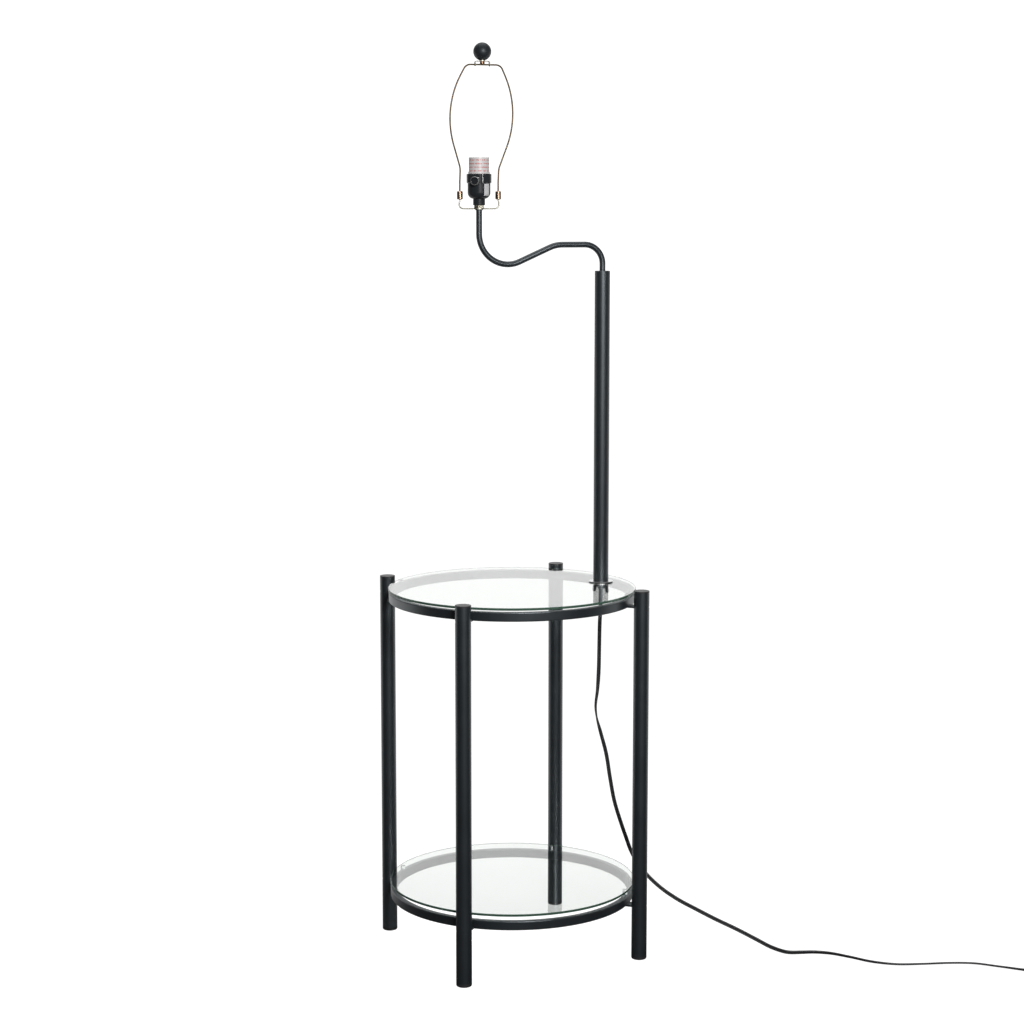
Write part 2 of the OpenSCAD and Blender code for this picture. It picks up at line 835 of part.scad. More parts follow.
module shade_stud() {
    head_z = harp_d / 2 + fit;
    color(brass)
        at_harp_top() {
            translate([0, 0, head_z]) cylinder(d = shade_stud_d + 1.4, h = strap_rise - strap_t - head_z);
            translate([0, 0, strap_rise - strap_t]) cylinder(d = shade_stud_d, h = strap_t + stud_in_ball);
        }
}

insert_d = shade_stud_d + 3.2;
insert_h = stud_in_ball + 1.5;

module finial_ball() {
    color(black_paint)
        at_harp_top()
            difference() {
                translate([0, 0, strap_rise + seat_gap + ball_d / 2]) sphere(d = ball_d);
                translate([0, 0, strap_rise - cut]) cylinder(d = insert_d + 2 * fit, h = insert_h + cut);
            }
}

module finial_insert() {
    color(brass)
        at_harp_top()
            difference() {
                translate([0, 0, strap_rise]) cylinder(d = insert_d, h = insert_h);
                translate([0, 0, strap_rise - cut])
                    cylinder(d = shade_stud_d + 2 * fit, h = stud_in_ball + seat_gap + cut);
            }
}

// ---- lead and cord ----

// The lead runs from the nipple's end through mast and arm up to the insulator
module lamp_lead() {
    color(black_plastic) along_arm(mast_top - nipple_z, insulator_z - head_z, lead_d);
}

// Winding: it starts at coil_turn on its outer loop, runs anticlockwise, and goes in and out again
coil_at = [811, -393];
coil_r = 42.2;                                       // radius of the outermost turns
coil_turn = -133;                                    // direction of the start, from the coil's middle
coil_loops = 2.25;
coil_step = 4;                                       // radial distance from turn to turn
coil_rise = cord_w + 0.6;                            // from the lower layer to the upper one
coil_z = cord_w / 2;
coil_tail = 28;                                      // straight end, long enough to bring the plug beside the coil
coil_rings = 24;                                     // rings in each loop

// The free cord: x, y, z and the turn of its wide side, 0 and 180 standing on edge, 90 lying flat
cord_route = concat([[mast_x, 0, nipple_z, 0]], [
    [156.5, 0, 575, 0], [155.5, 1, 540, 0], [155, 1.5, 500, 0], [154.5, 2, 460, 10], [153, 3, 428, 60],
    [150.4, 4.7, 394, 90], [151.5, 2, 379, 110], [156.3, -1.8, 357, 160], [165.1, -7.9, 318, 180],
    [170.8, -12.3, 276, 180], [177.5, -17, 235, 180], [185.2, -22.8, 205, 180], [194.6, -28.5, 174, 180],
    [201.3, -32.7, 153, 180], [213, -41, 129, 180], [226, -51, 111, 180], [243, -63, 93.5, 180],
    [268, -81, 75, 180], [293, -100, 61.5, 180], [319, -119, 48, 180], [353, -144, 32, 180],
    [377, -162, 19.5, 180], [399, -180, 8.4, 178], [420, -197, 3.6, 170], [441, -203.5, 3.4, 160],
    [461, -208, 3.2, 150], [482, -219, 3, 140], [507, -247, 3, 130], [533, -282, 3, 125],
    [562, -303, 2.8, 115], [607, -316, 2.6, 110], [650, -325, 2.6, 110], [688, -339, 2.6, 110],
    [719, -365, 2.6, 110], [747, -391, 2.8, 120]]);
cord_side = [sin(36.3), cos(36.3), 0];               // level normal of the plane that the cord hangs in
ring_step = 17;                                      // distance between the free cord's rings

function unit(v) = v / norm(v);
function flat(a) = [cos(a), sin(a)];

// Point of the winding after t loops, from 0 to coil_loops
function coil_point(t) =
    let (half = coil_loops / 2,
         climb = min(1, max(0, 2 * (t - half) + 0.5)),
         r = coil_r - coil_step * (half - abs(half - t)),
         p = coil_at + r * flat(coil_turn + 360 * t))
    [p[0], p[1], coil_z + coil_rise * (1 - cos(180 * climb)) / 2];

coil_dir = flat(coil_turn + 90);
coil_out = flat(coil_turn + 360 * coil_loops + 90);
coil_start = coil_point(0) - cord_w * [coil_dir[0], coil_dir[1], 0];
coil_end = coil_point(coil_loops) + coil_tail * [coil_out[0], coil_out[1], 0];
coil_steps = round(coil_loops * coil_rings);
coil_path = concat([coil_start], [for (k = [0 : coil_steps]) coil_point(k / coil_rings)], [coil_end]);

route = concat([for (p = cord_route) [p[0], p[1], p[2]]], [coil_start]);
rolls = concat([for (p = cord_route) p[3]], [180]);

// Directions at the route's points: straight down at the exit, into the coil at the end
function chord(i) = route[i] - route[i - 1];
function heading(i) =
    i == 0 ? [0, 0, -1] :
    i == len(route) - 1 ? [coil_dir[0], coil_dir[1], 0] :
    let (a = chord(i), b = chord(i + 1))
    unit(unit(a) * norm(b) + unit(b) * norm(a));

// Point between route points i and i + 1, at share u of the way
function between(i, u) =
    let (l = norm(chord(i + 1)))
    route[i] * (2 * pow(u, 3) - 3 * u * u + 1) + l * heading(i) * (pow(u, 3) - 2 * u * u + u)
    + route[i + 1] * (3 * u * u - 2 * pow(u, 3)) + l * heading(i + 1) * (pow(u, 3) - u * u);

free_path = concat(
    [for (i = [0 : len(route) - 2])
        let (n = max(1, round(norm(chord(i + 1)) / ring_step)))
        for (k = [0 : n - 1]) concat(between(i, k / n), rolls[i] + (rolls[i + 1] - rolls[i]) * k / n)],
    [concat(coil_start, 180)]);

// Direction of a path at point k, with the end directions given
function path_dir(path, k, first, last) =
    k == 0 ? first :
    k == len(path) - 1 ? last :
    let (a = path[k - 1], b = path[k + 1])
    unit([b[0] - a[0], b[1] - a[1], b[2] - a[2]]);

// Ring of the free cord: a stadium with its wide side turned by roll
function free_ring(p, dir, roll) =
    let (side = unit(cord_side - (cord_side * dir) * dir),
         up = cross(dir, side),
         wide = cos(roll) * up + sin(roll) * side,
         thin = cross(dir, wide),
         r = cord_t / 2,
         reach = (cord_w - cord_t) / 2)
    [for (end = [1, -1], a = [-90 : 36 : 90])
        p + end * ((reach + r * cos(a)) * wide + r * sin(a) * thin)];

// Ring of the winding: six corners, standing on edge
function coil_ring(p, dir) =
    let (side = cross(dir, [0, 0, 1]))
    [for (c = [[0, 1], [1, 0.5], [1, -0.5], [0, -1], [-1, -0.5], [-1, 0.5]])
        p + c[0] * cord_t / 2 * unit(side) + [0, 0, c[1] * cord_w / 2]];

// Closed tube through a list of rings with the same number of corners
module tube_through(rings) {
    n = len(rings[0]);
    last = len(rings) - 1;
    polyhedron(
        points = [for (ring = rings) each ring],
        faces = concat(
            [[for (j = [0 : n - 1]) j]],
            [for (i = [0 : last - 1], j = [0 : n - 1])
                each [[i * n + j, (i + 1) * n + j, (i + 1) * n + (j + 1) % n],
                      [i * n + j, (i + 1) * n + (j + 1) % n, i * n + (j + 1) % n]]],
            [[for (j = [n - 1 : -1 : 0]) last * n + j]]));
}

module cord_free() {
    last = [coil_dir[0], coil_dir[1], 0];
    color(black_plastic)
        tube_through([for (k = [0 : len(free_path) - 1])
            let (q = free_path[k])
            free_ring([q[0], q[1], q[2]], path_dir(free_path, k, [0, 0, -1], last), q[3])]);
}

module cord_coil() {
    first = [coil_dir[0], coil_dir[1], 0];
    last = [coil_out[0], coil_out[1], 0];
    color(black_plastic)
        tube_through([for (k = [0 : len(coil_path) - 1])
            coil_ring(coil_path[k], k == 1 ? first : path_dir(coil_path, k, first, last))]);
}

// Least gap of the winding to itself, between the round edges of the flat cord standing on edge
function loop_gap(a, b) =
    norm([a[0] - b[0], a[1] - b[1], max(0, abs(a[2] - b[2]) - (cord_w - cord_t))]) - cord_t;
coil_gaps = [for (i = [0 : coil_steps], j = [i + coil_rings / 2 : coil_steps])
    loop_gap(coil_point(i / coil_rings), coil_point(j / coil_rings))];
function path_length(path) = len(path) < 2 ? 0 :
    [for (k = 1, s = 0; k < len(path); s = s + norm([for (c = [0 : 2]) path[k][c] - path[k - 1][c]]), k = k + 1) s]
        [len(path) - 2] + norm([for (c = [0 : 2]) path[len(path) - 1][c] - path[len(path) - 2][c]]);
echo(least_gap_in_the_winding = min(coil_gaps));
echo(cord_length = path_length(free_path) + path_length(coil_path));

plug_l = 30;                                         // length of the plug's body
relief_l = 14;                                       // length of its strain relief
plug_t = 13;                                         // thickness of the plug
blade_gap = 12.7;                                    // distance between the blades

// Two-pin plug, lying on its side at the end of the winding
module plug() {
    half_h = coil_z + coil_rise;
    half_t = plug_t / 2;
    translate(coil_end)
        rotate([0, 0, coil_turn + 360 * coil_loops + 90]) {
            color(black_plastic)
                intersection() {
                    rotate([90, 0, 0])
                        translate([0, 0, -half_t])
                            linear_extrude(plug_t)
                                plug_outline(cord_w / 2 + 1, cord_w / 2 + 2, half_h);
                    translate([0, 0, -half_h])
                        linear_extrude(2 * half_h)
                            plug_outline(cord_t / 2 + 1, cord_t / 2 + 1.8, half_t);
                }
            color(zinc)
                for (z = [-blade_gap / 2, blade_gap / 2])
                    translate([relief_l + plug_l, 0, z]) blade();
        }
}

// Outline of the plug along its length: strain relief, shoulder and body
module plug_outline(start, neck, half) {
    side = [[0, start], [relief_l, neck], [relief_l + 6, half - 1.5], [relief_l + 9, half],
            [relief_l + plug_l - 2, half], [relief_l + plug_l, half - 2]];
    polygon(concat(side, [for (k = [len(side) - 1 : -1 : 0]) [side[k][0], -side[k][1]]]));
}

module blade() {
    w = 6.3;
    t = 1.5;
    l = 17;
    difference() {
        translate([0, -w / 2, -t / 2]) cube([l, w, t]);
        translate([l - 4, 0, -t]) cylinder(d = 3, h = 2 * t);
    }
}

for (i = [0 : 3]) {
    glide(i);
    foot(i);
    leg(i);
    post(i);
}
post_caps();
foot_inserts();
leg_inserts();
post_inserts();
shelf_studs();
top_studs();
shelf_ring();
top_ring();
shelf_pads();
top_pads();
shelf_glass();
top_glass();
upper_gasket();
flange_washer();
lower_gasket();
clamp_washer();
nipple();
wing_nut();
mast_insert();
mast_tube();
mast_cap();
arm_tube();
arm_nut();
saddle_seat();
saddle();
saddle_nut();
socket_cap();
socket_collar();
socket_insulator();
screw_shell();
centre_contact();
card_sleeve();
switch_knob();
harp_wire();
ferrule_left();
ferrule_right();
harp_strap();
shade_stud();
finial_ball();
finial_insert();
lamp_lead();
cord_free();
cord_coil();
plug();
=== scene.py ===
"""Looks of a floor lamp with a two-tier glass table round its foot.

Metres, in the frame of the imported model: +Z up, origin on the floor under the middle of the table,
the mast on the +X side. Values marked mm are turned into metres where they are used.
"""
import json
import math

import bmesh
import bpy
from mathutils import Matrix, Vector


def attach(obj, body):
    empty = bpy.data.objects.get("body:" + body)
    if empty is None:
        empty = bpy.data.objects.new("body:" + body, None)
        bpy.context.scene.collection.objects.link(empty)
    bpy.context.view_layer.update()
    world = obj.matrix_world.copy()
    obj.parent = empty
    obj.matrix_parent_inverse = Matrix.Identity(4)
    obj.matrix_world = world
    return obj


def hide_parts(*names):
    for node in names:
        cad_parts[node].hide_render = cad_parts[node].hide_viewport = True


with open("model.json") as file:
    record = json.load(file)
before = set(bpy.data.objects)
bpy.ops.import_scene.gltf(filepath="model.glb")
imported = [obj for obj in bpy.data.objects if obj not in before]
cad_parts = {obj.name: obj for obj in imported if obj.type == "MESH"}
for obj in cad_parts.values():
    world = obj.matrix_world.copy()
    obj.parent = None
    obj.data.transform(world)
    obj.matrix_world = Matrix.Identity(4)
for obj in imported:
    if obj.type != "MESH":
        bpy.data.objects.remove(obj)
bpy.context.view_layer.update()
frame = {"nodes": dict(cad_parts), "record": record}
nodes = frame["nodes"]
MM = 0.001
UP = Vector((0, 0, 1))


# ---- camera ----

PHOTO_PX = 1024
FOCAL_PX = 2252.9                        # focal length in pixels of the photograph
SENSOR_MM = 36
CAMERA_AT = Vector((-1.1377, -3.5015, 1.2363))
CAMERA_LOOK = Vector((0.3062, 0.9424, -0.1345))


def make_camera():
    data = bpy.data.cameras.new("camera")
    data.sensor_width = SENSOR_MM
    data.lens = SENSOR_MM * FOCAL_PX / PHOTO_PX
    camera = bpy.data.objects.new("camera", data)
    camera.location = CAMERA_AT
    camera.rotation_euler = CAMERA_LOOK.to_track_quat("-Z", "Y").to_euler()
    bpy.context.scene.collection.objects.link(camera)
    bpy.context.scene.camera = camera


make_camera()


# ---- mesh helpers ----

def add_mesh(name, verts, faces, smooth=True):
    """New object from a list of points and faces, with its normals turned outwards."""
    mesh = bpy.data.meshes.new(name)
    mesh.from_pydata([tuple(v) for v in verts], [], faces)
    shape = bmesh.new()
    shape.from_mesh(mesh)
    bmesh.ops.recalc_face_normals(shape, faces=shape.faces)
    shape.to_mesh(mesh)
    shape.free()
    mesh.polygons.foreach_set("use_smooth", [smooth] * len(mesh.polygons))
    obj = bpy.data.objects.new(name, mesh)
    bpy.context.scene.collection.objects.link(obj)
    return obj


def tube_through(rings):
    """Points and faces of a closed tube through rings that have the same number of points."""
    n = len(rings[0])
    verts = [p for ring in rings for p in ring]
    faces = [(i * n + j, i * n + (j + 1) % n, (i + 1) * n + (j + 1) % n, (i + 1) * n + j)
             for i in range(len(rings) - 1) for j in range(n)]
    last = (len(rings) - 1) * n
    return verts, faces + [tuple(range(n)), tuple(last + j for j in reversed(range(n)))]


# ---- cord ----

CORD_W = 6.8 * MM
CORD_T = 3.2 * MM
CORD_WAIST = 2.1 * MM                    # thickness of the web between the cord's two cores
ARC_STEPS = 5                            # faces of the section on each half of a core
RING_STEP = 4 * MM                       # distance along the cord from one section to the next
# Level direction of the wide side where its turn is 90 degrees
CORD_SIDE = Vector((math.sin(math.radians(36.3)), math.cos(math.radians(36.3)), 0))
# x, y, z in mm and the turn of the wide side in degrees, 0 and 180 standing on edge, 90 lying flat
CORD_ROUTE = [
    (156.6, 0, 597.5, 0),
    (156.5, 0, 575, 0), (155.5, 1, 540, 0), (155, 1.5, 500, 0), (154.5, 2, 460, 10), (153, 3, 428, 60),
    (150.4, 4.7, 394, 90), (151.5, 2, 379, 110), (156.3, -1.8, 357, 160), (165.1, -7.9, 318, 180),
    (170.8, -12.3, 276, 180), (177.5, -17, 235, 180), (185.2, -22.8, 205, 180), (194.6, -28.5, 174, 180),
    (201.3, -32.7, 153, 180), (213, -41, 129, 180), (226, -51, 111, 180), (243, -63, 93.5, 180),
    (268, -81, 75, 180), (293, -100, 61.5, 180), (319, -119, 48, 180), (353, -144, 32, 180),
    (377, -162, 19.5, 180), (399, -180, 8.4, 178), (420, -197, 3.6, 170), (441, -203.5, 3.4, 160),
    (461, -208, 3.2, 150), (482, -219, 3, 140), (507, -247, 3, 130), (533, -282, 3, 125),
    (562, -303, 2.8, 115), (607, -316, 2.6, 110), (650, -325, 2.6, 110), (688, -339, 2.6, 110),
    (719, -365, 2.6, 110), (747, -391, 2.8, 120),
]
COIL_AT = Vector((811, -393, 0)) * MM
COIL_R = 42.2 * MM                       # radius of the outermost turns
COIL_TURN = -133                         # direction of the start, from the coil's middle
COIL_LOOPS = 2.25
COIL_STEP = 4 * MM                       # radial distance from turn to turn
COIL_Z = CORD_W / 2                      # the lower layer stands on edge on the floor
LAYER_GAP = 0.6 * MM
COIL_RISE = CORD_W + LAYER_GAP           # from the lower layer to the upper one
COIL_TAIL = 28 * MM                      # straight end that runs into the plug
COIL_LEVEL = 0.5                         # near the coil the cord stands upright where it climbs less than this
RINGS_PER_LOOP = 72


def flat(degrees):
    """Level unit vector in that direction."""
    return Vector((math.cos(math.radians(degrees)), math.sin(math.radians(degrees)), 0))


def coil_point(t):
    """Middle of the cord after t loops: it spirals in, climbs a layer and spirals out again."""
    half = COIL_LOOPS / 2
    climb = min(1, max(0, 2 * (t - half) + 0.5))  # takes half a loop round the middle one
    r = COIL_R - COIL_STEP * (half - abs(half - t))
    lift = COIL_Z + COIL_RISE * (1 - math.cos(math.pi * climb)) / 2
    return COIL_AT + r * flat(COIL_TURN + 360 * t) + lift * UP


COIL_DIR = flat(COIL_TURN + 90)
COIL_OUT = flat(COIL_TURN + 360 * COIL_LOOPS + 90)
COIL_START = coil_point(0) - CORD_W * COIL_DIR
COIL_END = coil_point(COIL_LOOPS) + COIL_TAIL * COIL_OUT


def free_path():
    """Points along the free cord, each with the turn of its wide side."""
    points = [Vector(p[:3]) * MM for p in CORD_ROUTE] + [COIL_START]
    rolls = [p[3] for p in CORD_ROUTE] + [180]
    chords = [b - a for a, b in zip(points, points[1:])]
    heads = [-UP]
    for a, b in zip(chords, chords[1:]):
        heads.append((a.normalized() * b.length + b.normalized() * a.length).normalized())
    heads.append(COIL_DIR)
    path = []
    for i, chord in enumerate(chords):
        steps = max(1, round(chord.length / RING_STEP))
        for k in range(steps):
            u = k / steps
            rise = 3 * u ** 2 - 2 * u ** 3
            point = (points[i] * (1 - rise) + points[i + 1] * rise
                     + chord.length * (heads[i] * (u ** 3 - 2 * u ** 2 + u) + heads[i + 1] * (u ** 3 - u ** 2)))
            path.append((point, rolls[i] + (rolls[i + 1] - rolls[i]) * u))
    return path


def coil_path():
    steps = round(COIL_LOOPS * RINGS_PER_LOOP)
    turns = [(coil_point(k / RINGS_PER_LOOP), 180) for k in range(steps + 1)]
    return [(COIL_START, 180)] + turns + [(COIL_END, 180)]


def cord_section():
    """Outline of the twin cord across its length: two round cores and a thin web, as (wide, thin)."""
    r = CORD_T / 2
    reach = CORD_W / 2 - r
    limit = math.degrees(math.pi - math.asin(CORD_WAIST / 2 / r))
    arc = [math.radians(limit * (k / ARC_STEPS - 1)) for k in range(2 * ARC_STEPS + 1)]
    side = [(reach + r * math.cos(a), r * math.sin(a)) for a in arc]
    return side + [(-x, -y) for x, y in side]


def make_cord():
    path = free_path() + coil_path()
    section = cord_section()
    rings = []
    for k, (point, roll) in enumerate(path):
        if k == 0:
            ahead = -UP
        elif k == len(path) - 1:
            ahead = COIL_OUT
        else:
            ahead = (path[k + 1][0] - path[k - 1][0]).normalized()
        side = (CORD_SIDE - CORD_SIDE.dot(ahead) * ahead).normalized()
        near_coil = point.x > COIL_AT.x - 2 * COIL_R
        if near_coil and roll == 180 and abs(ahead.z) < COIL_LEVEL:
            side = UP.cross(ahead).normalized()
        above = ahead.cross(side)
        turn = math.radians(roll)
        wide = math.cos(turn) * above + math.sin(turn) * side
        thin = ahead.cross(wide)
        rings.append([point + x * wide + y * thin for x, y in section])
    cord = add_mesh("power_cord", *tube_through(rings))
    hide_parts("cord_free", "cord_coil")
    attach(cord, "table")
    return cord


cord = make_cord()


# ---- node helpers ----

COLOUR_A, COLOUR_B, COLOUR_RESULT = 6, 7, 2  # sockets of a mix node that mixes colours


class Graph:
    """Short calls for the nodes of one material or world."""

    def __init__(self, tree):
        self.tree = tree

    def add(self, kind, **values):
        """New node; each value goes to the input of that name, or else to the node's own setting."""
        node = self.tree.nodes.new(kind)
        for name, value in values.items():
            if name in node.inputs:
                node.inputs[name].default_value = value
            else:
                setattr(node, name, value)
        return node

    def join(self, out, into):
        self.tree.links.new(out, into)

    def coordinates(self, kind="Object"):
        return self.add("ShaderNodeTexCoord").outputs[kind]

    def maths(self, operation, one, other=0):
        """Result of a math node; one is an output, and other an output or a number."""
        node = self.add("ShaderNodeMath", operation=operation)
        self.join(one, node.inputs[0])
        if isinstance(other, (int, float)):
            node.inputs[1].default_value = other
        else:
            self.join(other, node.inputs[1])
        return node.outputs[0]

    def mix_colours(self, share, one, other):
        """Colour one where share is 0, and other, a colour or an output, where it is 1."""
        node = self.add("ShaderNodeMix", data_type="RGBA")
        self.join(share, node.inputs["Factor"])
        node.inputs[COLOUR_A].default_value = (*one, 1)
        if isinstance(other, tuple):
            node.inputs[COLOUR_B].default_value = (*other, 1)
        else:
            self.join(other, node.inputs[COLOUR_B])
        return node.outputs[COLOUR_RESULT]


# ---- materials ----

LOW_STOP, HIGH_STOP = 0.3, 0.7           # where the colour ramps over noise start and end


class Shader(Graph):
    """Node material with a principled shader."""

    def __init__(self, name, colour, roughness, **sockets):
        self.material = bpy.data.materials.new(name)
        self.material.use_nodes = True
        super().__init__(self.material.node_tree)
        self.main = self.tree.nodes["Principled BSDF"]
        self.set("Base Color", (*colour, 1))
        self.set("Roughness", roughness)
        for socket, value in sockets.items():
            self.set(socket.replace("_", " "), value)

    def set(self, socket, value):
        self.main.inputs[socket].default_value = value

    def drive(self, socket, out):
        self.join(out, self.main.inputs[socket])

    def noise(self, size, detail=2.0, stretch=(1, 1, 1)):
        """Noise whose features are about size metres across, along axes that are stretched."""
        mapping = self.add("ShaderNodeMapping", Scale=stretch)
        self.join(self.coordinates(), mapping.inputs["Vector"])
        node = self.add("ShaderNodeTexNoise", Scale=1 / size, Detail=detail)
        self.join(mapping.outputs["Vector"], node.inputs["Vector"])
        return node.outputs["Fac"]

    def spread(self, source, low, high):
        """Source, from 0 to 1, turned into a value from low to high."""
        node = self.add("ShaderNodeMapRange")
        node.inputs["To Min"].default_value = low
        node.inputs["To Max"].default_value = high
        self.join(source, node.inputs["Value"])
        return node.outputs["Result"]

    def tint(self, source, first, last, start=LOW_STOP, end=HIGH_STOP):
        """Colour first where source is up to start, and last from end on."""
        node = self.add("ShaderNodeValToRGB")
        for element, place, colour in zip(node.color_ramp.elements, (start, end), (first, last)):
            element.position = place
            element.color = (*colour, 1)
        self.join(source, node.inputs["Fac"])
        return node.outputs["Color"]

    def seen_from(self, point, turn, unit=(1, 1, 1)):
        """x, y and z in a frame at point that is turned by degrees about z, measured in units."""
        mapping = self.add("ShaderNodeMapping", vector_type="TEXTURE", Location=point,
                           Rotation=(0, 0, math.radians(turn)), Scale=unit)
        self.join(self.coordinates(), mapping.inputs["Vector"])
        split = self.add("ShaderNodeSeparateXYZ")
        self.join(mapping.outputs["Vector"], split.inputs["Vector"])
        return split.outputs

    def bump(self, height, depth, strength):
        """Bump from a height of 0 to 1 that stands for depth metres."""
        node = self.add("ShaderNodeBump", Strength=strength, Distance=depth)
        self.join(height, node.inputs["Height"])
        self.drive("Normal", node.outputs["Normal"])

    def uneven(self, source, roughness, less, more):
        """Roughness that goes from less to more than the given one as source goes from 0 to 1."""
        self.drive("Roughness", self.spread(source, roughness - less, roughness + more))

    def mix_shaders(self, share, one, other):
        """Surface one where share is 0, and other where it is 1."""
        mix = self.add("ShaderNodeMixShader")
        for socket, out in enumerate((share, one, other)):
            self.join(out, mix.inputs[socket])
        return mix.outputs["Shader"]


def times(colour, factor):
    return tuple(c * factor for c in colour)


def shades(colour, contrast):
    """The colour a little darker and a little lighter."""
    return times(colour, 1 - contrast), times(colour, 1 + contrast)


GLINT = (0.86, 0.95, 1, 1)               # tint of the paint's highlights


def satin_paint(name, colour, roughness, shine):
    """Powder coat: fine orange peel and a slightly uneven sheen."""
    paint = Shader(name, colour, roughness, Specular_IOR_Level=shine, Specular_Tint=GLINT)
    paint.bump(paint.noise(1.3 * MM, detail=3), depth=0.02 * MM, strength=0.5)
    patches = paint.noise(40 * MM, detail=3)
    paint.uneven(patches, roughness, less=0.04, more=0.05)
    paint.drive("Base Color", paint.tint(patches, *shades(colour, contrast=0.1)))
    return paint.material


def metal(name, colour, roughness, size=2 * MM, stretch=(1, 1, 1), other=None):
    """Plated metal: faint cloudiness, a grain where the noise is stretched, or patches of another colour."""
    plate = Shader(name, colour, roughness, Metallic=1)
    cloud = plate.noise(size, 3, stretch)
    ends = (colour, other) if other else shades(colour, contrast=0.12)
    plate.drive("Base Color", plate.tint(cloud, *ends))
    plate.uneven(cloud, roughness, less=0.05, more=0.06)
    return plate.material


def moulded(name, colour, roughness, grained=True):
    """Moulded plastic or rubber, with a fine skin or glossy."""
    skin = Shader(name, colour, roughness)
    if grained:
        skin.bump(skin.noise(0.6 * MM), depth=0.015 * MM, strength=0.4)
    skin.uneven(skin.noise(15 * MM), roughness, less=0.04, more=0.05)
    return skin.material


RIM_SCATTER = 0.5                        # part of the glass rim's look that is scattered light
RIM_UPRIGHT = 0.8                        # faces whose normal rises less than this belong to the rim


def clear(name, colour, roughness, ior, rim=None):
    """Glass or clear silicone; shadows let the light through. Upright faces scatter the rim's colour."""
    body = Shader(name, colour, roughness, Transmission_Weight=1, IOR=ior)
    body.uneven(body.noise(60 * MM), roughness, less=0, more=0.01)
    surface = body.main.outputs["BSDF"]
    if rim:
        tilt = body.add("ShaderNodeSeparateXYZ")
        body.join(body.add("ShaderNodeNewGeometry").outputs["True Normal"], tilt.inputs["Vector"])
        upright = body.maths("LESS_THAN", body.maths("ABSOLUTE", tilt.outputs["Z"]), RIM_UPRIGHT)
        share = body.maths("MULTIPLY", upright, RIM_SCATTER)
        scatter = body.add("ShaderNodeBsdfDiffuse", Color=(*rim, 1))
        surface = body.mix_shaders(share, surface, scatter.outputs["BSDF"])
    thin = body.add("ShaderNodeBsdfTransparent")
    shadow = body.add("ShaderNodeLightPath").outputs["Is Shadow Ray"]
    surface = body.mix_shaders(shadow, surface, thin.outputs["BSDF"])
    body.join(surface, body.tree.nodes["Material Output"].inputs["Surface"])
    return body.material


SOCKET_AXIS = Vector((-55.81, 0, 0)) * MM
ROW_TOP = 1309.6 * MM                    # height of the uppermost row of print on the card
ROW_PITCH = 5.7 * MM
DASH = 2.2 * MM
DASH_STRETCH = (1, 1, 0.3)               # the dashes are taller than wide, and the rows cut them off
PRINT_EDGE = (0.36, 0.44)                # the card turns into ink between these strengths of the print


def printed_card(name, colour, ink, roughness):
    """White card with rows of pale dashes that stand for print."""
    card = Shader(name, colour, roughness)
    rise = card.seen_from((0, 0, ROW_TOP), 0, (1, 1, ROW_PITCH / math.tau))["Z"]
    rows = card.spread(card.maths("COSINE", rise), low=0.5, high=1)
    dashes = card.noise(DASH, 1, DASH_STRETCH)
    card.drive("Base Color", card.tint(card.maths("MULTIPLY", rows, dashes), colour, ink, *PRINT_EDGE))
    return card.material


LABEL_TURN = -63                         # direction in which the label on the socket faces
LABEL_MIDDLE = SOCKET_AXIS + 1262.5 * MM * UP
LABEL_HALF = (5.4 * MM, 9.5 * MM)        # half its width and half its height
LABEL_DULL = 0.8                         # brightness of the label's darker patches


def labelled_black(name, colour, roughness, label, label_roughness=0.4):
    """Moulded black with a plain silver label on one side."""
    shell = Shader(name, colour, roughness, Specular_IOR_Level=0.15)
    x, y, z = shell.seen_from(LABEL_MIDDLE, LABEL_TURN, (1, *LABEL_HALF))
    across = shell.maths("LESS_THAN", shell.maths("ABSOLUTE", y), 1)
    along = shell.maths("LESS_THAN", shell.maths("ABSOLUTE", z), 1)
    here = shell.maths("MULTIPLY", shell.maths("MULTIPLY", across, along), shell.maths("GREATER_THAN", x))
    paper = shell.tint(shell.noise(3 * MM), times(label, LABEL_DULL), label)
    shell.drive("Base Color", shell.mix_colours(here, colour, paper))
    shell.drive("Roughness", shell.spread(here, roughness, label_roughness))
    return shell.material


KNOB_AT = SOCKET_AXIS + 1276.48 * MM * UP
KNOB_TURN = -121                         # direction of the knob's axis in degrees
KNOB_HIGHLIGHT_RADII = (5.8 * MM, 6.2 * MM)          # painted highlight on the rim: the colour turns pale between these distances from that axis
KNOB_UNIT = 10 * MM                      # distance from the axis at which the colour ramp ends


def black_knob_painted_highlight(name, colour, roughness, rim):
    """Gloss black knob with a painted highlight: its rim is coloured pale."""
    knob = Shader(name, colour, roughness)
    _, y, z = knob.seen_from(KNOB_AT, KNOB_TURN)
    squares = knob.maths("ADD", knob.maths("MULTIPLY", y, y), knob.maths("MULTIPLY", z, z))
    off_axis = knob.maths("DIVIDE", knob.maths("SQRT", squares), KNOB_UNIT)
    # painted highlight: the base colour turns pale from the rim outwards
    knob.drive("Base Color", knob.tint(off_axis, colour, rim, *(r / KNOB_UNIT for r in KNOB_HIGHLIGHT_RADII)))
    return knob.material


